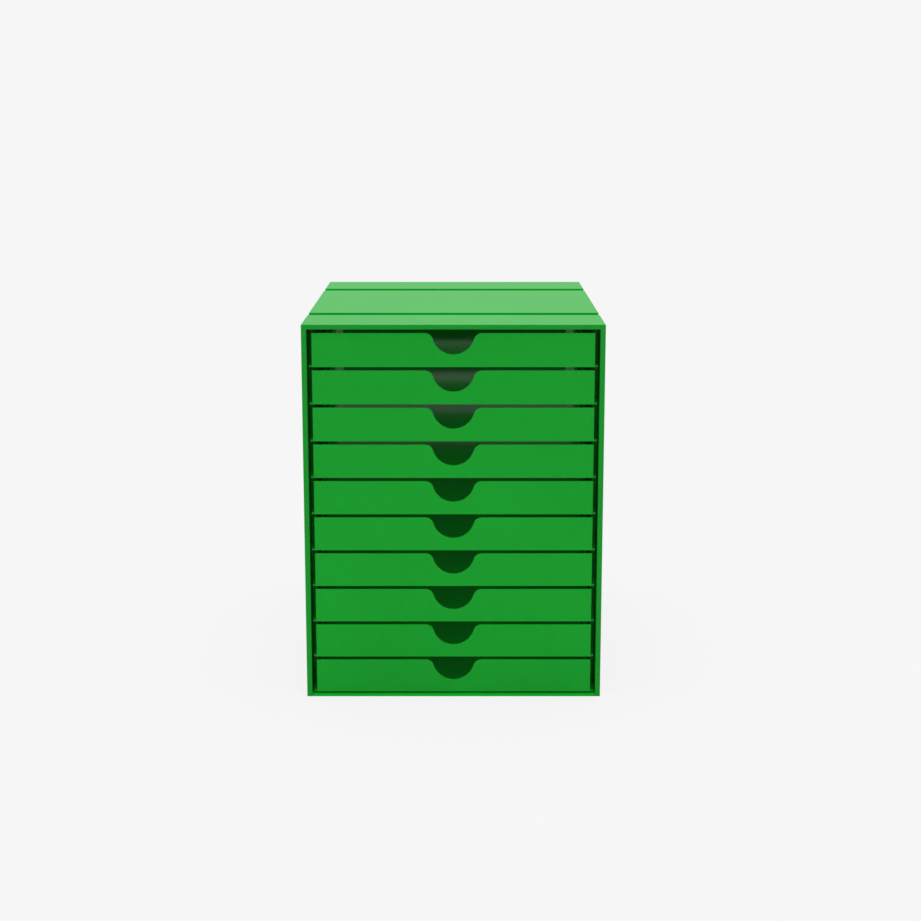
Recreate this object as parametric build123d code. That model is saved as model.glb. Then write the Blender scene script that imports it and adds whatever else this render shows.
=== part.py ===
from build123d import *
import math
import os

# A cabinet of ten shallow desk drawers in one moulded green plastic.
# Four panels make a sleeve that is open at the back, and a slotted runner comb on each side carries
# the drawers. All sizes are millimetres. The origin is under the middle of the cabinet, +Z is up and
# the drawers open towards -Y. Sizes grow from the drawer outwards to the cabinet.

# Drawer
drawer_count = 10
drawer_width = 246.2
drawer_length = 313.6
front_height = 29.9
front_gap = 2.95
front_thickness = 2.2
wall_thickness = 1.8
side_rim_height = 8.0
gusset_length = 22.0
rear_wall_height = 22.8
rear_wall_corner_radius = 3.0
floor_thickness = 1.5
rear_corner_radius = 7.0
floor_fillet = 1.2
front_edge_radius = 0.3

# Finger cut-out in the drawer front
cutout_depth = 18.8
cutout_radius = 18.6
cutout_shoulder_radius = 7.6

# Flange along each side of the drawer's floor, and its stop lug
flange_reach = 2.4
flange_thickness = 1.2
flange_setback = 1.0
flange_rear_chamfer = 1.6
lug_reach = 0.8
lug_length = 8.0
lug_inset = 70.9

# Runner comb
running_gap = 0.6
slot_drop = 0.3
slot_rise = 0.4
side_play = 0.3
throat_length = 12.0
comb_back_thickness = 0.9
comb_setback = 27.0
comb_rear_setback = 37.6
comb_rib_thickness = 1.4
comb_post_length = 3.0
comb_bays = 3
slot_lead_in = 1.0
stop_gap = 0.2
rear_stop_gap = 0.3
rear_stop_length = 3.0

# Pegs that locate a comb on its side panel
peg_radius = 2.5
peg_length = 1.5
peg_clearance = 0.1
peg_rows = 3
peg_columns = 2

# Cabinet panels
side_thickness = 4.5
top_thickness = 4.2
bottom_thickness = 2.4
gap_over_drawers = 3.25
gap_under_drawers = 1.6
front_recess = 1.5
outer_edge_radius = 0.6
inner_edge_radius = 0.3
bottom_lip = 0.4

# Tongues that join the top and bottom panels to the sides
tongue_reach = 1.5
tongue_clearance = 0.1
tongue_setback = 8.0
top_tongue_thickness = 1.4
top_tongue_lift = 0.3
bottom_tongue_lift = 0.8
bottom_tongue_cover = 0.4

# Band grooves over the top and down both sides, placed from the front and rear edges
band_groove_width = 17.0
band_groove_depth = 1.8
band_groove_inset = 76.5

# Sizes worked out from the ones above
half_drawer = drawer_width / 2
drawer_pitch = front_height + front_gap
flange_tip = half_drawer + flange_reach
lug_tip = flange_tip + lug_reach
lug_front = drawer_length - lug_inset
comb_face = half_drawer + running_gap
throat_bottom = flange_tip + side_play
slot_bottom = lug_tip + side_play
inner_half_width = slot_bottom + comb_back_thickness
half_width = inner_half_width + side_thickness
cabinet_width = 2 * half_width
first_drawer_z = bottom_thickness + gap_under_drawers
stack_top = first_drawer_z + (drawer_count - 1) * drawer_pitch + front_height
top_underside = stack_top + gap_over_drawers
cabinet_height = top_underside + top_thickness
comb_rear_inset = rear_stop_length + comb_rear_setback
cabinet_depth = front_recess + drawer_length + rear_stop_gap + comb_rear_inset
front_y = -cabinet_depth / 2
rear_y = cabinet_depth / 2
drawer_front_y = front_y + front_recess
comb_front_y = front_y + comb_setback
throat_rear_y = comb_front_y + throat_length
comb_rear_y = rear_y - comb_rear_setback
slot_rear_y = rear_y - comb_rear_inset
drawer_travel = drawer_front_y + lug_front - throat_rear_y - stop_gap
drawer_levels = [first_drawer_z + i * drawer_pitch for i in range(drawer_count)]
tongue_end_y = rear_y - tongue_setback
band_groove_y = rear_y - band_groove_inset
overcut = 1.0


def block(x_range, y_range, z_range):
    """A box from its lowest to its highest corner."""
    sizes = [high - low for low, high in (x_range, y_range, z_range)]
    middle = [(low + high) / 2 for low, high in (x_range, y_range, z_range)]
    return Pos(*middle) * Box(*sizes)


def evenly(low, high, count):
    """The middles of count equal shares of the stretch from low to high."""
    share = (high - low) / count
    return [low + share * (i + 0.5) for i in range(count)]


def edges_along(shape, axis, *places):
    """Edges parallel to axis whose middle lies at each (axis letter, coordinate) of places."""
    found = shape.edges().filter_by(axis)
    for letter, value in places:
        found = [e for e in found if abs(getattr(e.center(), letter) - value) < 1e-3]
    return found


def band_grooves():
    """The material that the two band grooves take from the top and the sides."""
    floor_half = half_width - band_groove_depth
    floor_top = cabinet_height - band_groove_depth
    grooves = []
    for middle in (-band_groove_y, band_groove_y):
        y_range = (middle - band_groove_width / 2, middle + band_groove_width / 2)
        outside = block(
            (-half_width - overcut, half_width + overcut), y_range, (-overcut, cabinet_height + overcut)
        )
        kept = block((-floor_half, floor_half), y_range, (-overcut, floor_top))
        grooves.append(outside - kept)
    return grooves


def tongue_levels():
    """Lowest and highest z of the top panel's tongues and of the bottom panel's."""
    top_low = top_underside + top_tongue_lift
    return [
        (top_low, top_low + top_tongue_thickness),
        (bottom_tongue_lift, bottom_thickness - bottom_tongue_cover),
    ]


def peg_places():
    """(y, z) of each comb peg, the rows midway between two drawers' slots."""
    columns = evenly(comb_front_y, comb_rear_y, peg_columns)
    steps = evenly(0, drawer_count, peg_rows)
    rows = [first_drawer_z + (math.floor(step) + 0.5) * drawer_pitch for step in steps]
    return [(y, z) for y in columns for z in rows]


def right_side_panel():
    """Flat side, full height and depth, grooved inside for the tongues and holed for the pegs."""
    panel = block((inner_half_width, half_width), (front_y, rear_y), (0, cabinet_height))
    outer = edges_along(panel, Axis.Y, ("X", half_width), ("Z", cabinet_height))
    for end_y in (front_y, rear_y):
        outer += edges_along(panel, Axis.Z, ("X", half_width), ("Y", end_y))
        outer += edges_along(panel, Axis.X, ("Y", end_y), ("Z", cabinet_height))
    panel = fillet(outer, outer_edge_radius)
    cuts = band_grooves()
    groove_x = inner_half_width + tongue_reach + tongue_clearance
    groove_end = tongue_end_y + tongue_clearance
    for low, high in tongue_levels():
        cuts.append(
            block(
                (inner_half_width - overcut, groove_x),
                (-groove_end, groove_end),
                (low - tongue_clearance, high + tongue_clearance),
            )
        )
    for y, z in peg_places():
        hole_depth = peg_length + peg_clearance
        hole = Cylinder(peg_radius + peg_clearance, hole_depth + overcut, rotation=(0, 90, 0))
        cuts.append(Pos(inner_half_width + (hole_depth - overcut) / 2, y, z) * hole)
    return panel - cuts


def top_panel():
    """Flat top between the sides, with a tongue along each edge."""
    panel = block(
        (-inner_half_width, inner_half_width), (front_y, rear_y), (top_underside, cabinet_height)
    )
    for end_y in (front_y, rear_y):
        panel = fillet(edges_along(panel, Axis.X, ("Y", end_y), ("Z", cabinet_height)), outer_edge_radius)
        panel = fillet(edges_along(panel, Axis.X, ("Y", end_y), ("Z", top_underside)), inner_edge_radius)
    return panel + tongues(tongue_levels()[0]) - band_grooves()


def bottom_panel():
    """Thin bottom between the sides, its front edge bevelled to face up."""
    panel = block((-inner_half_width, inner_half_width), (front_y, rear_y), (0, bottom_thickness))
    front_top = edges_along(panel, Axis.X, ("Y", front_y), ("Z", bottom_thickness))
    return chamfer(front_top, bottom_thickness - bottom_lip) + tongues(tongue_levels()[1])


def tongues(levels):
    """A tongue on each side, which stops short of the front and rear edges."""
    reach = inner_half_width + tongue_reach
    bar = block((-reach, reach), (-tongue_end_y, tongue_end_y), levels)
    gap = block((-half_drawer, half_drawer), (front_y, rear_y), levels)
    return bar - gap


def right_runner_comb():
    """Slotted rack for the drawers' flanges: a back plate, two ribs to each slot, and upright posts.

    Each slot is closed at the rear, where its flange stops, and narrower in the throat at the front,
    where its lug stops a drawer that is pulled out. Between the slots the last bay is open at the rear.
    """
    y_range = (comb_front_y, comb_rear_y)
    comb = block((comb_face, inner_half_width), y_range, (bottom_thickness, top_underside))
    cuts = []
    slots = [(z - slot_drop, z + flange_thickness + slot_rise) for z in drawer_levels]
    for low, high in slots:
        cuts.append(block((comb_face - overcut, slot_bottom), (throat_rear_y, slot_rear_y), (low, high)))
        cuts.append(
            block((comb_face - overcut, throat_bottom), (comb_front_y - overcut, throat_rear_y), (low, high))
        )
        cuts.append(slot_mouth(low, high))
    rib_ends = [(low - comb_rib_thickness, high + comb_rib_thickness) for low, high in slots]
    floors = [high for low, high in rib_ends]
    ceilings = [low for low, high in rib_ends[1:]] + [top_underside - comb_rib_thickness]
    bay_length = (slot_rear_y - comb_front_y) / comb_bays
    for bay in range(comb_bays):
        bay_front = comb_front_y + comb_post_length + bay * bay_length
        bay_rear = bay_front + bay_length - comb_post_length
        if bay == comb_bays - 1:
            bay_rear = comb_rear_y + overcut
        for floor, ceiling in zip(floors, ceilings):
            cuts.append(block((comb_face - overcut, slot_bottom), (bay_front, bay_rear), (floor, ceiling)))
    pegs = []
    for y, z in peg_places():
        peg = Cylinder(peg_radius, 2 * peg_length, rotation=(0, 90, 0))
        pegs.append(Pos(inner_half_width, y, z) * peg)
    behind_face = block(
        (inner_half_width - comb_back_thickness / 2, half_width), (front_y, rear_y), (0, cabinet_height)
    )
    return comb - cuts + [peg & behind_face for peg in pegs]


def slot_mouth(low, high):
    """Flare at the front end of one slot that leads the flange in."""
    rear = comb_front_y + slot_lead_in
    outline = Polyline(
        (comb_front_y - overcut, low - slot_lead_in - overcut),
        (rear, low),
        (rear, high),
        (comb_front_y - overcut, high + slot_lead_in + overcut),
        close=True,
    )
    flare = extrude(Plane.YZ * make_face(outline), throat_bottom - comb_face + overcut)
    return Pos(comb_face - overcut, 0, 0) * flare


def cutout_face():
    """Finger cut-out in the XZ plane, with the drawer's underside at z = 0."""
    centre_z = front_height - cutout_depth + cutout_radius
    spread = cutout_radius + cutout_shoulder_radius
    shoulder_z = front_height - cutout_shoulder_radius
    shoulder_x = math.sqrt(spread**2 - (centre_z - shoulder_z) ** 2)
    join_x = shoulder_x * cutout_radius / spread
    join_z = centre_z - (centre_z - shoulder_z) * cutout_radius / spread
    half_turn = (math.pi / 2 + math.atan2(centre_z - shoulder_z, shoulder_x)) / 2
    turn = math.pi / 2 + half_turn
    bend_x = shoulder_x + cutout_shoulder_radius * math.cos(turn)
    bend_z = shoulder_z + cutout_shoulder_radius * math.sin(turn)
    above = front_height + overcut
    outline = [
        ThreePointArc((-shoulder_x, front_height), (-bend_x, bend_z), (-join_x, join_z)),
        ThreePointArc((-join_x, join_z), (0, centre_z - cutout_radius), (join_x, join_z)),
        ThreePointArc((join_x, join_z), (bend_x, bend_z), (shoulder_x, front_height)),
        Polyline(
            (shoulder_x, front_height), (shoulder_x, above), (-shoulder_x, above), (-shoulder_x, front_height)
        ),
    ]
    return Plane.XZ * make_face(outline)


def drawer():
    """One moulded tray, its front face at y = 0 and its underside at z = 0."""
    body = block((-half_drawer, half_drawer), (0, drawer_length), (0, front_height))
    body = fillet(edges_along(body, Axis.Z, ("Y", drawer_length)), rear_corner_radius)
    inside_half = half_drawer - wall_thickness
    inside_rear = drawer_length - wall_thickness
    hollow = block(
        (-inside_half, inside_half), (front_thickness, inside_rear), (floor_thickness, front_height + overcut)
    )
    hollow = fillet(edges_along(hollow, Axis.Z, ("Y", inside_rear)), rear_corner_radius - wall_thickness)
    hollow = fillet(hollow.faces().sort_by(Axis.Z)[0].edges(), floor_fillet)
    cutout = extrude(cutout_face(), -front_thickness - overcut) + extrude(cutout_face(), overcut)
    body = body - hollow - (above_rims() - rear_wall_space()) - cutout
    front_face = body.faces().filter_by(Axis.Y).sort_by(Axis.Y)[0]
    body = fillet(front_face.edges(), front_edge_radius)
    return body + flanges()


def above_rims():
    """All that lies over the low side rims, up to the gussets that run up to the front."""
    gusset_end = front_thickness + gusset_length
    rise = front_height - side_rim_height
    outline = [
        EllipticalCenterArc((gusset_end, front_height), gusset_length, rise, start_angle=180, arc_size=90),
        Polyline(
            (gusset_end, side_rim_height),
            (drawer_length + overcut, side_rim_height),
            (drawer_length + overcut, front_height + overcut),
            (front_thickness, front_height + overcut),
            (front_thickness, front_height),
        ),
    ]
    return extrude(Plane.YZ * make_face(outline), half_drawer + overcut, both=True)


def rear_wall_space():
    """The space of the tall rear wall between the drawer's rounded rear corners."""
    reach = half_drawer - rear_corner_radius
    y_range = (drawer_length - wall_thickness - floor_fillet, drawer_length + overcut)
    space = block((-reach, reach), y_range, (0, rear_wall_height))
    corners = edges_along(space, Axis.Y, ("Z", rear_wall_height))
    return fillet(corners, rear_wall_corner_radius)


def flanges():
    """Flange along each side of the floor, with the lug that meets the comb's throat at full travel."""
    plate = block((-flange_tip, flange_tip), (flange_setback, drawer_length), (0, flange_thickness))
    plate = chamfer(edges_along(plate, Axis.Z, ("Y", drawer_length)), flange_rear_chamfer)
    outline = Polyline(
        (half_drawer, lug_front),
        (lug_tip, lug_front),
        (lug_tip, lug_front + lug_length - lug_reach),
        (flange_tip, lug_front + lug_length),
        (half_drawer, lug_front + lug_length),
        close=True,
    )
    lug = extrude(make_face(outline), flange_thickness)
    inside = block(
        (-half_drawer + wall_thickness, half_drawer - wall_thickness),
        (0, drawer_length - wall_thickness),
        (0, floor_thickness),
    )
    return plate - inside + [lug, mirror(lug, Plane.YZ)]


def build():
    """Every node's name and shape."""
    side = right_side_panel()
    comb = right_runner_comb()
    tray = drawer()
    nodes = {
        "left_side_panel": mirror(side, Plane.YZ),
        "right_side_panel": side,
        "top_panel": top_panel(),
        "bottom_panel": bottom_panel(),
        "left_runner_comb": mirror(comb, Plane.YZ),
        "right_runner_comb": comb,
    }
    for number, level in enumerate(reversed(drawer_levels), start=1):
        nodes[f"drawer_{number:02d}"] = Pos(0, drawer_front_y, level) * tray
    return nodes


def main():
    os.makedirs("parts", exist_ok=True)
    for name, shape in build().items():
        export_step(shape, f"parts/{name}.step")
    print("cabinet", round(cabinet_width, 2), round(cabinet_depth, 2), round(cabinet_height, 2))
    print("drawer travel", round(drawer_travel, 2))


main()
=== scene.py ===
# %% [markdown]
# # A green drawer organizer, dressed in Blender
# The cabinet holds ten shallow paper drawers. The measured model of it comes in as a fixed frame: one mesh
# for each real piece, at its real size in metres, standing on z = 0 with the drawers opening towards -Y.
# This lesson gives those pieces their moulded plastic, adds what is too fine for the measured model, and
# sets up the light, the floor and the camera of the product photograph.

# %% Load the frame
import math

import bpy
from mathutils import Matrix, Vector


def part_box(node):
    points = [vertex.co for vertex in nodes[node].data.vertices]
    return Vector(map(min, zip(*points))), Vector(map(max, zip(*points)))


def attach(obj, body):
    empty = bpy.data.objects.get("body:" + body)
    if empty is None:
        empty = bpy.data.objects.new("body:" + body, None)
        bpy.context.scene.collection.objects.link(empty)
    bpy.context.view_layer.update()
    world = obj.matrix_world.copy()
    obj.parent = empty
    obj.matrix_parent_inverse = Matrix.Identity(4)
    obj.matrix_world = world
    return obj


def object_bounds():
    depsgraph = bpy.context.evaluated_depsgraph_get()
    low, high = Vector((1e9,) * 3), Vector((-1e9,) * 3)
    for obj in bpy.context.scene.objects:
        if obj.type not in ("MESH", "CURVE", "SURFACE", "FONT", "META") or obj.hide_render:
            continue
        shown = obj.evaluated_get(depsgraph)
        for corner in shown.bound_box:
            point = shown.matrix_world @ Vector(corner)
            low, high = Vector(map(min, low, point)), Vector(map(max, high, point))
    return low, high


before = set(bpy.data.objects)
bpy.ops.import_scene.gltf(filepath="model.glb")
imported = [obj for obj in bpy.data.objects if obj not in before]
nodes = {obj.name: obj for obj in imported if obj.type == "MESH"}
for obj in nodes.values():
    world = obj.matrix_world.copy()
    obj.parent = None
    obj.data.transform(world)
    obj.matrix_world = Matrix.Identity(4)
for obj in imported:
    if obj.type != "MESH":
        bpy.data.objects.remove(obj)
cad_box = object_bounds()
low, high = cad_box
drawer_names = sorted(name for name in nodes if name.startswith("drawer_"))


def rounded(point):
    """A point with few enough digits to print."""
    return tuple(round(value, 4) for value in point)


print("nodes:", len(nodes), "drawers:", len(drawer_names))
print("the cabinet reaches from", rounded(low), "to", rounded(high))

# %% [markdown]
# ## The camera
# The photograph's perspective was solved from the cabinet's own edges: the camera stands about 1.53 m in
# front of the cabinet, 20 cm higher than its top, and tilts down by under 12 degrees. A camera can also be
# matched by eye, but then every edge ends up a little off. The solved lens, place and tilt make the render
# overlay the photograph. The lens is long enough to keep the front nearly square.

# %% Set the photograph's camera
front_y = low.y
lens_mm = 69.74
sensor_mm = 36.0
camera_from_front_foot = Vector((0.0062, -1.5338, 0.5339))
tilt_down = math.radians(11.667)

camera_data = bpy.data.cameras.new("photo_camera")
camera_data.lens = lens_mm
camera_data.sensor_width = sensor_mm
camera = bpy.data.objects.new("photo_camera", camera_data)
camera.location = camera_from_front_foot + Vector((0, front_y, 0))
camera.rotation_euler = (math.pi / 2 - tilt_down, 0, 0)
bpy.context.scene.collection.objects.link(camera)
bpy.context.scene.camera = camera
print("camera at", rounded(camera.location))

# %% [markdown]
# ## Node trees in a few words
# Every finish below is a small tree of shader nodes, and the moulding marks are a tree of geometry nodes.
# A helper that adds a node and sets its inputs keeps each tree readable: the lines then say what the
# plastic looks like instead of how Blender stores it. A list of sockets goes into one input in its order.
# A second helper does one step of arithmetic, and a third starts a material with an empty tree.

# %% Helpers that add nodes
def add_node(tree, kind, inputs=None, **settings):
    """New node with its settings, and with each input set to a value or linked to a socket."""
    node = tree.nodes.new(kind)
    for name, value in settings.items():
        setattr(node, name, value)
    for key, value in (inputs or {}).items():
        sources = value if isinstance(value, list) else [value]
        for source in sources:
            if isinstance(source, bpy.types.NodeSocket):
                tree.links.new(source, node.inputs[key])
            else:
                node.inputs[key].default_value = source
    return node


def arithmetic(tree, operation, *values):
    """Result socket of one Math node."""
    return add_node(tree, "ShaderNodeMath", dict(enumerate(values)), operation=operation).outputs[0]


def new_material(name):
    """A material and its empty node tree."""
    material = bpy.data.materials.new(name)
    material.use_nodes = True
    tree = material.node_tree
    tree.nodes.clear()
    return material, tree


# %% [markdown]
# ## Moulded green plastic: the colour
# The whole object is one saturated green, but plastic that flowed into a mould is never quite even. Broad
# clouds show where the pigment is a little denser, and faint streaks run the way the melt flowed: along the
# trays, and up the panels. A painted image could hold that, but it would need a file and a map for each
# piece. Two noises need neither, one of them stretched by a Mapping node. They are mixed and sent through a
# ramp between two greens that are so close that a step away only a soft life is left.

# %% Colour of the moulded plastic
cloud_scale = 9.0
cloud_detail = 3.0
streak_scale = 60.0
streak_detail = 2.0
streak_stretch = 0.06
streak_share = 0.35
ramp_ends = (0.3, 0.7)


def pigment(tree, place, greens, flow_axis):
    """Colour socket: clouds, and streaks drawn out along one axis, between two near greens."""
    clouds = add_node(
        tree, "ShaderNodeTexNoise", {"Vector": place, "Scale": cloud_scale, "Detail": cloud_detail}
    )
    squeeze = tuple(streak_stretch if axis == flow_axis else 1.0 for axis in "XYZ")
    drawn_out = add_node(tree, "ShaderNodeMapping", {"Vector": place, "Scale": squeeze})
    streaks = add_node(
        tree,
        "ShaderNodeTexNoise",
        {"Vector": drawn_out.outputs["Vector"], "Scale": streak_scale, "Detail": streak_detail},
    )
    both = add_node(
        tree,
        "ShaderNodeMix",
        {"Factor": streak_share, "A": clouds.outputs["Fac"], "B": streaks.outputs["Fac"]},
        data_type="FLOAT",
    )
    ramp = add_node(tree, "ShaderNodeValToRGB", {"Fac": both.outputs["Result"]})
    low_end, high_end = ramp.color_ramp.elements
    low_end.position, high_end.position = ramp_ends
    low_end.color, high_end.color = greens
    return ramp.outputs["Color"]


print("clouds are about", round(1 / cloud_scale, 3), "m wide, streaks", round(1 / streak_scale, 3), "m")

# %% [markdown]
# ## Moulded green plastic: painted light on the walls of the band grooves
# The walls of the two band grooves are painted a purer and brighter green than the faces beside them:
# painted light that lifts walls which the lamps leave darker. A second material on those faces could show
# it, but a measured mesh is never changed. So the one material finds them by their place. They stand across
# Y at known distances from the middle of the cabinet, and a short row of Math nodes on the Object
# coordinates asks whether a point is half a groove's width from a groove's middle.

# %% Find the walls of the band grooves
band_groove_inset = 0.0765
band_groove_width = 0.017
wall_reach = 0.00005
groove_middle_y = high.y - band_groove_inset


def on_groove_wall(tree, place):
    """Socket that is 1 on the walls of the band grooves and 0 elsewhere."""
    past = add_node(tree, "ShaderNodeSeparateXYZ", {"Vector": place}).outputs["Y"]
    for distance in (groove_middle_y, band_groove_width / 2):
        past = arithmetic(tree, "SUBTRACT", arithmetic(tree, "ABSOLUTE", past), distance)
    return arithmetic(tree, "LESS_THAN", arithmetic(tree, "ABSOLUTE", past), wall_reach)


def swap_colour(tree, where, colour, other):
    """Colour socket that is colour where the mask is 0 and other where it is 1."""
    mix = add_node(tree, "ShaderNodeMix", {"Factor": where}, data_type="RGBA")
    # A Mix node holds a set of sockets for each kind of data, all with the same names.
    ends = {end.identifier: end for end in [*mix.inputs, *mix.outputs]}
    tree.links.new(colour, ends["A_Color"])
    ends["B_Color"].default_value = other
    return ends["Result_Color"]


print("groove middles at y =", round(-groove_middle_y, 4), "and", round(groove_middle_y, 4))

# %% [markdown]
# ## Moulded green plastic: the skin
# The mould's steel leaves its own surface on the plastic: a fine satin grain, which is bump on the body, and
# a clear skin over it that mirrors what lies behind. Seen square on, little more than a hundredth of the
# light is mirrored, and the plastic is a flat deep green. Seen along the surface it turns pale: that is what
# whitens the top, and what draws a grey line on the tray floors in the gaps. The body's own gloss could do
# that too, but the skin is a coat, because a coat's weight sets how strong the mirror is, which the
# photograph shows stronger on the panels than on the trays. The coat gets its own normal, a long shallow
# waviness as cooling leaves on every large flat wall.

# %% Skin of the moulded plastic
body_roughness = 0.46
skin_roughness = 0.10
skin_index = 1.5
grain_scale = 1400.0
grain_depth = 0.00001
grain_detail = 2.0
wave_scale = 16.0
wave_depth = 0.00003
wave_detail = 1.0


def relief(tree, place, scale, depth, detail):
    """Normal socket of a noise relief whose hollows are depth metres deep."""
    noise = add_node(tree, "ShaderNodeTexNoise", {"Vector": place, "Scale": scale, "Detail": detail})
    bump = add_node(tree, "ShaderNodeBump", {"Height": noise.outputs["Fac"], "Distance": depth})
    return bump.outputs["Normal"]


def green_plastic(name, greens, skin_weight, flow_axis, painted_light_on_walls=None):
    """Moulded plastic with its pigment, its satin grain and its clear skin."""
    material, tree = new_material(name)
    place = add_node(tree, "ShaderNodeTexCoord").outputs["Object"]
    colour = pigment(tree, place, greens, flow_axis)
    # painted light: the walls of the band grooves get a brighter green
    if painted_light_on_walls:
        colour = swap_colour(tree, on_groove_wall(tree, place), colour, painted_light_on_walls)
    shader = add_node(
        tree,
        "ShaderNodeBsdfPrincipled",
        {
            "Base Color": colour,
            "Normal": relief(tree, place, grain_scale, grain_depth, grain_detail),
            "Roughness": body_roughness,
            "Specular IOR Level": 0.0,
            "Coat Weight": skin_weight,
            "Coat Roughness": skin_roughness,
            "Coat IOR": skin_index,
            "Coat Normal": relief(tree, place, wave_scale, wave_depth, wave_detail),
        },
    )
    add_node(tree, "ShaderNodeOutputMaterial", {"Surface": shader.outputs["BSDF"]})
    return material


print("grain is about", round(1 / grain_scale, 5), "m wide, waves", round(1 / wave_scale, 4), "m")

# %% [markdown]
# ## Which piece gets which plastic
# The sides and the top have the stronger skin, so their body is a little deeper for the same green. The
# trays and the runner combs were moulded from the same melt with a duller skin. The bottom panel shows only
# as a thin strip under the lowest drawer. Its body is painted a paler green, painted light that makes that
# strip the purest and brightest green of the whole front, and it has next to no skin. One material that
# tells the pieces apart in its nodes would be hard to read, so there is one for each kind of piece, and one
# function makes them all.

# %% Make the plastics
panel_skin = 0.31
tray_skin = 0.10
bottom_skin = 0.04
panel_greens = [(0.0020, 0.281, 0.0171, 1.0), (0.0023, 0.307, 0.0189, 1.0)]
tray_greens = [(0.0092, 0.340, 0.0268, 1.0), (0.0106, 0.367, 0.0290, 1.0)]
# painted light: a paler green for the bottom panel, so its thin strip shows brighter than the fronts
painted_light_bottom_greens = [(0.0022, 0.362, 0.0180, 1.0), (0.0025, 0.390, 0.0196, 1.0)]
# painted light: a brighter green for the walls of the band grooves, which the lamps leave darker
painted_light_on_groove_walls = (0.0020, 0.412, 0.0290, 1.0)

panel_plastic = green_plastic("panel_plastic", panel_greens, panel_skin, "Z", painted_light_on_groove_walls)
bottom_plastic = green_plastic("bottom_plastic", painted_light_bottom_greens, bottom_skin, "Y")
comb_plastic = green_plastic("comb_plastic", tray_greens, tray_skin, "Z")
tray_plastic = green_plastic("tray_plastic", tray_greens, tray_skin, "Y")
print("coat weights: panels", panel_skin, "trays and combs", tray_skin, "bottom", bottom_skin)

# %% [markdown]
# ## Dress the measured pieces
# A finish is put on a piece through its material slot. The piece could be copied and dressed as a new mesh,
# but then its shape might drift from the measured one, so the mesh itself stays as it came. The part's own
# kind of finish for each group of pieces is printed beside it.

# %% Put the plastics on
def dress(names, material, slot):
    """Gives the named pieces a material and says which kind of finish it is."""
    for name in names:
        piece = nodes[name]
        piece.data.materials.clear()
        piece.data.materials.append(material)
    print(slot, "on", len(names), "pieces")


dress(["left_side_panel", "right_side_panel", "top_panel"], panel_plastic, "cabinet_shell")
# the bottom panel gets the paler copy of the plastic, which is painted light
dress(["bottom_panel"], bottom_plastic, "cabinet_shell")
dress(["left_runner_comb", "right_runner_comb"], comb_plastic, "runner_comb")
dress(drawer_names, tray_plastic, "drawer")

# %% [markdown]
# ## Marks that the mould leaves in a tray
# A tray is pushed out of its mould by steel pins. Each leaves a flat disc with a fine witness ring on the
# tray's floor, in two rows beside the middle. The melt enters under the middle of the floor, through a gate
# that leaves a short stub. The marks could be modelled one by one, but they follow a rule, so Geometry Nodes
# make them: a grid gives the places, a mark is put on each, and every size is a named input of the tree.

# %% Build the pin marks and the gate's stub
pin_columns, pin_rows = 2, 4
disc_sides = 32
wire_sides = 8
gate_sides = 24


def pin_marks(tree, given):
    """Geometry socket of the pins' discs, each with a ring round it, at the places of a grid."""
    places = add_node(
        tree,
        "GeometryNodeMeshGrid",
        {
            "Size X": given["Width"],
            "Size Y": given["Length"],
            "Vertices X": pin_columns,
            "Vertices Y": pin_rows,
        },
    )
    disc = add_node(
        tree,
        "GeometryNodeMeshCylinder",
        {"Vertices": disc_sides, "Radius": given["Pin Radius"], "Depth": given["Pin Rise"]},
    )
    circle = add_node(
        tree, "GeometryNodeCurvePrimitiveCircle", {"Resolution": disc_sides, "Radius": given["Pin Radius"]}
    )
    wire = add_node(
        tree, "GeometryNodeCurvePrimitiveCircle", {"Resolution": wire_sides, "Radius": given["Ring Radius"]}
    )
    ring = add_node(
        tree,
        "GeometryNodeCurveToMesh",
        {"Curve": circle.outputs["Curve"], "Profile Curve": wire.outputs["Curve"]},
    )
    mark = add_node(
        tree, "GeometryNodeJoinGeometry", {"Geometry": [disc.outputs["Mesh"], ring.outputs["Mesh"]]}
    )
    pins = add_node(
        tree,
        "GeometryNodeInstanceOnPoints",
        {"Points": places.outputs["Mesh"], "Instance": mark.outputs["Geometry"]},
    )
    on_floor = add_node(
        tree,
        "GeometryNodeTransform",
        {"Geometry": pins.outputs["Instances"], "Translation": given["Floor Middle"]},
    )
    return on_floor.outputs["Geometry"]


def gate_stub(tree, given):
    """Geometry socket of the stub that the gate leaves, pointing down from under the floor."""
    stub = add_node(
        tree,
        "GeometryNodeMeshCone",
        {
            "Vertices": gate_sides,
            "Radius Top": given["Ring Radius"],
            "Radius Bottom": given["Gate Radius"],
            "Depth": given["Gate Drop"],
        },
    )
    under_floor = add_node(
        tree,
        "GeometryNodeTransform",
        {"Geometry": stub.outputs["Mesh"], "Translation": given["Gate Place"], "Rotation": (math.pi, 0, 0)},
    )
    return under_floor.outputs["Geometry"]


print("pin marks on each tray:", pin_columns * pin_rows)

# %% [markdown]
# ## The tree of moulding marks
# A modifier knows the inputs of its tree by identifiers that Blender makes up, so each one is kept under its
# plain name. The tree ends in Realize Instances and Set Material, because copies that are only instances
# don't survive an export.

# %% Join the marks in one tree
mark_sizes = {
    "Width": 0.19,
    "Length": 0.24,
    "Pin Radius": 0.004,
    "Pin Rise": 0.0001,
    "Ring Radius": 0.00015,
    "Gate Radius": 0.0012,
    "Gate Drop": 0.0005,
}


def named_input(tree, name, kind, default=None):
    """Adds an input to the tree and returns its identifier."""
    item = tree.interface.new_socket(name, in_out="INPUT", socket_type=kind)
    if default is not None:
        item.default_value = default
    return item.identifier


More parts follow.
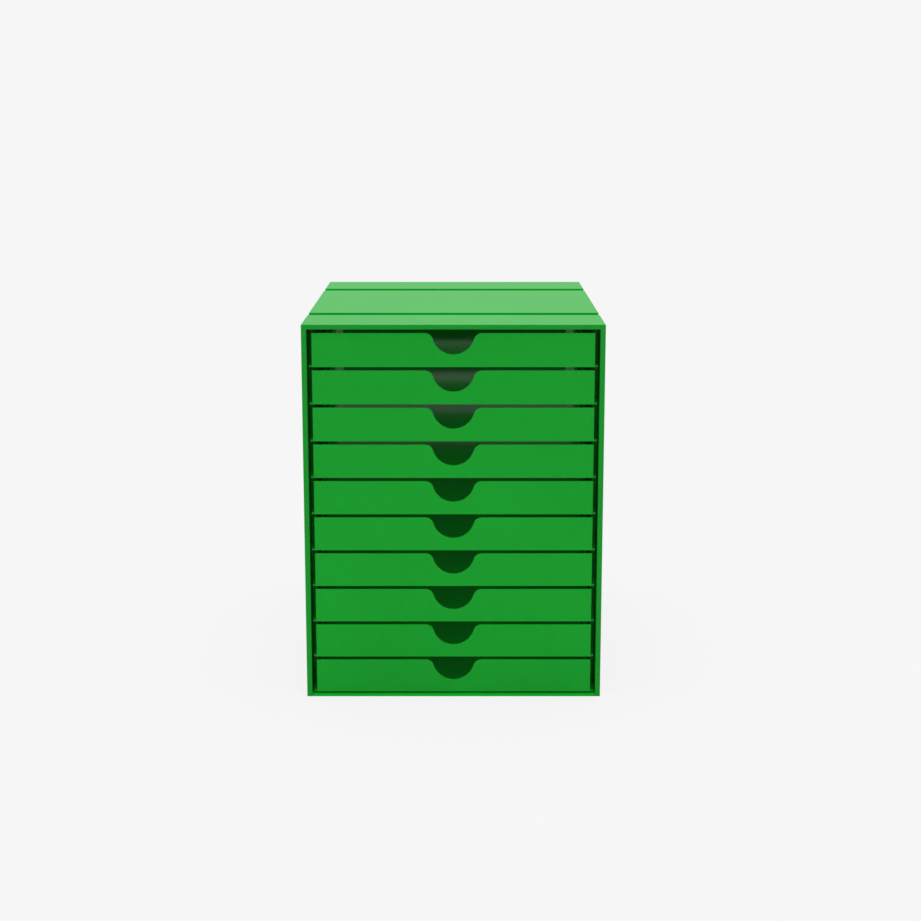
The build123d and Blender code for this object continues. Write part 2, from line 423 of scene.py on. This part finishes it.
def marks_tree():
    """The tree that makes one tray's marks, and the identifiers of its inputs."""
    tree = bpy.data.node_groups.new("moulding_marks", "GeometryNodeTree")
    tree.interface.new_socket("Marks", in_out="OUTPUT", socket_type="NodeSocketGeometry")
    keys = {name: named_input(tree, name, "NodeSocketFloat", size) for name, size in mark_sizes.items()}
    for name in ("Floor Middle", "Gate Place"):
        keys[name] = named_input(tree, name, "NodeSocketVector")
    keys["Plastic"] = named_input(tree, "Plastic", "NodeSocketMaterial")
    given = add_node(tree, "NodeGroupInput").outputs
    all_marks = add_node(
        tree, "GeometryNodeJoinGeometry", {"Geometry": [pin_marks(tree, given), gate_stub(tree, given)]}
    )
    real = add_node(tree, "GeometryNodeRealizeInstances", {"Geometry": all_marks.outputs["Geometry"]})
    dressed = add_node(
        tree,
        "GeometryNodeSetMaterial",
        {"Geometry": real.outputs["Geometry"], "Material": given["Plastic"]},
    )
    add_node(tree, "NodeGroupOutput", {"Marks": dressed.outputs["Geometry"]})
    return tree, keys


mould_tree, mould_inputs = marks_tree()
print("moulding marks take", list(mould_inputs))

# %% [markdown]
# ## Put the marks in every tray
# Each tray gets one mesh of marks. The tree is a modifier only for as long as it takes to evaluate it: the
# result is kept as a plain mesh, which rides on its drawer, so the marks stay on the floor as it slides.

# %% Make the marks of ten trays
tray_floor = 0.0015


def plain_mesh(piece):
    """Keeps what the piece's modifiers make as its own mesh, and takes the modifiers off."""
    graph = bpy.context.evaluated_depsgraph_get()
    mesh = bpy.data.meshes.new_from_object(piece.evaluated_get(graph))
    piece.modifiers.clear()
    piece.data = mesh
    mesh.name = piece.name
    return mesh


def mould_marks(drawer):
    """Makes one tray's marks and returns how many faces they have."""
    tray_low, tray_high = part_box(drawer)
    centre = (tray_low + tray_high) / 2
    piece = bpy.data.objects.new(f"{drawer}_mould_marks", bpy.data.meshes.new("empty_marks"))
    bpy.context.scene.collection.objects.link(piece)
    modifier = piece.modifiers.new("moulding_marks", "NODES")
    modifier.node_group = mould_tree
    modifier[mould_inputs["Floor Middle"]] = (centre.x, centre.y, tray_low.z + tray_floor)
    modifier[mould_inputs["Gate Place"]] = (centre.x, centre.y, tray_low.z)
    modifier[mould_inputs["Plastic"]] = tray_plastic
    mesh = plain_mesh(piece)
    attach(piece, drawer)
    return len(mesh.polygons)


mark_faces = [mould_marks(name) for name in drawer_names]
print("faces of marks on each tray:", mark_faces)

# %% [markdown]
# ## Floor and surroundings
# The photograph is a product shot on a very pale grey that has no horizon and next to no shadow. A brightly
# lit white floor would give that, but it would also throw light on the plastic from below. So for the rays
# that carry light the floor is plain matt paper. For the camera and for mirror rays most of it is the same
# plain grey as the world behind it, and near the cabinet a small share of the matt paper is mixed in, which
# is what shows the soft shadow. A Light Path node tells those rays apart, in the floor and in the world.

# %% Make the floor's paint
background_grey = 0.9216
floor_grey = 0.70
shadow_share = 0.10
shadow_near, shadow_far = 0.30, 1.1


def looked_at(tree):
    """Socket that is 1 for camera, mirrored and refracted rays, and 0 for rays that carry light."""
    path = add_node(tree, "ShaderNodeLightPath").outputs
    seen_or_mirrored = arithmetic(tree, "MAXIMUM", path["Is Camera Ray"], path["Is Glossy Ray"])
    return arithmetic(tree, "MAXIMUM", seen_or_mirrored, path["Is Transmission Ray"])


def floor_paint():
    """Matt paper for light, and mostly plain grey for what looks at it."""
    material, tree = new_material("floor_paint")
    matt = add_node(tree, "ShaderNodeBsdfDiffuse", {"Color": (floor_grey, floor_grey, floor_grey, 1.0)})
    plain = add_node(tree, "ShaderNodeEmission", {"Strength": background_grey})
    place = add_node(tree, "ShaderNodeTexCoord").outputs["Object"]
    distance = add_node(tree, "ShaderNodeVectorMath", {0: place}, operation="LENGTH")
    plainness = add_node(
        tree,
        "ShaderNodeMapRange",
        {
            "Value": distance.outputs["Value"],
            "From Min": shadow_near,
            "From Max": shadow_far,
            "To Min": 1.0 - shadow_share,
            "To Max": 1.0,
        },
        interpolation_type="SMOOTHSTEP",
    )
    plain_share = arithmetic(tree, "MULTIPLY", plainness.outputs["Result"], looked_at(tree))
    mixed = add_node(
        tree,
        "ShaderNodeMixShader",
        {0: plain_share, 1: matt.outputs["BSDF"], 2: plain.outputs["Emission"]},
    )
    add_node(tree, "ShaderNodeOutputMaterial", {"Surface": mixed.outputs["Shader"]})
    return material


print("the floor reflects", floor_grey, "and shows as", background_grey)

# %% [markdown]
# ## Lay the floor and light the world
# A curved backdrop would hide the line between floor and wall, but here nothing has to be hidden: far from
# the cabinet the floor and the world show the same grey, so one large square is enough. The world does two
# things: it lights the object evenly from all round, and it shows the plain grey to rays that look at it.

# %% Lay the floor and light the world
floor_half = 12.0
world_light = 0.74


def plain_floor():
    """One large square that is marked as part of the studio."""
    corners = [
        (-floor_half, -floor_half, 0),
        (floor_half, -floor_half, 0),
        (floor_half, floor_half, 0),
        (-floor_half, floor_half, 0),
    ]
    mesh = bpy.data.meshes.new("studio_floor")
    mesh.from_pydata(corners, [], [(0, 1, 2, 3)])
    mesh.materials.append(floor_paint())
    floor = bpy.data.objects.new("studio_floor", mesh)
    bpy.context.scene.collection.objects.link(floor)


def studio_world():
    """Even light from all round, seen as the plain grey of the background."""
    world = bpy.data.worlds.new("studio_world")
    world.use_nodes = True
    tree = world.node_tree
    tree.nodes.clear()
    strength = add_node(
        tree,
        "ShaderNodeMapRange",
        {"Value": looked_at(tree), "To Min": world_light, "To Max": background_grey},
    )
    back = add_node(
        tree,
        "ShaderNodeBackground",
        {"Color": (1.0, 1.0, 1.0, 1.0), "Strength": strength.outputs["Result"]},
    )
    add_node(tree, "ShaderNodeOutputWorld", {"Surface": back.outputs["Background"]})
    bpy.context.scene.world = world


plain_floor()
studio_world()
print("floor", 2 * floor_half, "m wide, world gives", world_light)

# %% [markdown]
# ## A soft box
# The world gives an even light from all round, which the fronts need, and one large soft box over the
# cabinet makes the top the brightest face. A lamp near the camera was tried and left out, because it shone
# into the gaps beside the drawers, which are nearly black in the photograph. No lamp shows in the plastic or
# in the background: the pieces mirror only each other and the pale studio.

# %% Hang the soft box
soft_box_place = Vector((0.0, 0.0, 2.6))
soft_box_side = 1.8
soft_box_watts = 52.5
middle = (low + high) / 2


def aimed_lamp(name, kind, place, target, energy):
    """A lamp that points from its place at a target and isn't mirrored."""
    data = bpy.data.lights.new(name, kind)
    data.energy = energy
    lamp = bpy.data.objects.new(name, data)
    lamp.location = place
    lamp.rotation_euler = (target - place).to_track_quat("-Z", "Y").to_euler()
    lamp.visible_camera = False
    lamp.visible_glossy = False
    bpy.context.scene.collection.objects.link(lamp)
    return data


soft_box = aimed_lamp("overhead_soft_box", "AREA", soft_box_place, middle, soft_box_watts)
soft_box.shape = "SQUARE"
soft_box.size = soft_box_side
print("soft box", round(soft_box_place.z - high.z, 3), "m over the top")

# %% [markdown]
# ## Light that comes through the plastic
# A cabinet of trays is nearly closed, and its inside would come out black, where the photograph shows an
# even dark green between the drawers. Thin green plastic lets some light through. Real transmission in every
# wall could show it, but takes far more samples for so little light. A weak sun from above that casts no
# shadow stands for it: it reaches every floor alike, however the drawers stand.

# %% Fill the inside with a little light
fill_steepness = math.radians(85)
fill_strength = 0.225

sun_direction = Vector((0.0, math.cos(fill_steepness), -math.sin(fill_steepness)))
inside_fill = aimed_lamp("inside_fill", "SUN", middle - sun_direction, middle, fill_strength)
inside_fill.use_shadow = False
print("fill shines along", rounded(sun_direction))

# %% [markdown]
# ## Daylight behind the finger cut-outs
# The cut-outs are lighter than the gaps in the photograph. Daylight falls in through them and spreads over
# the floors behind them, most of it near the front. Lamps inside each tray could show that, but they would
# have to ride on the drawers. A narrow spot from high above, which casts no shadow either and fades to
# nothing at its rim, does it for all ten at once. It leans back, because the upper trays are seen, and lit,
# deeper than the lower ones.

# %% Add the glow behind the cut-outs
glow_behind_front = 0.055
glow_level = 0.10
glow_height = 4.0
glow_lean = 0.2
glow_reach = 0.09
glow_watts = 37.5

glow_target = Vector((0.0, front_y + glow_behind_front, glow_level))
glow_place = glow_target + Vector((0.0, glow_lean * glow_height, glow_height))
cutout_glow = aimed_lamp("cutout_glow", "SPOT", glow_place, glow_target, glow_watts)
cutout_glow.use_shadow = False
cutout_glow.shadow_soft_size = 0.0
cutout_glow.spot_size = 2 * math.atan(glow_reach / (glow_place - glow_target).length)
cutout_glow.spot_blend = 1.0
print("glow", 2 * glow_reach, "m wide behind the cut-outs")

# %% [markdown]
# ## Close the scene
# The last step sets the view transform to Standard.

# %% Set the view transform
bpy.context.scene.view_settings.view_transform = "Standard"
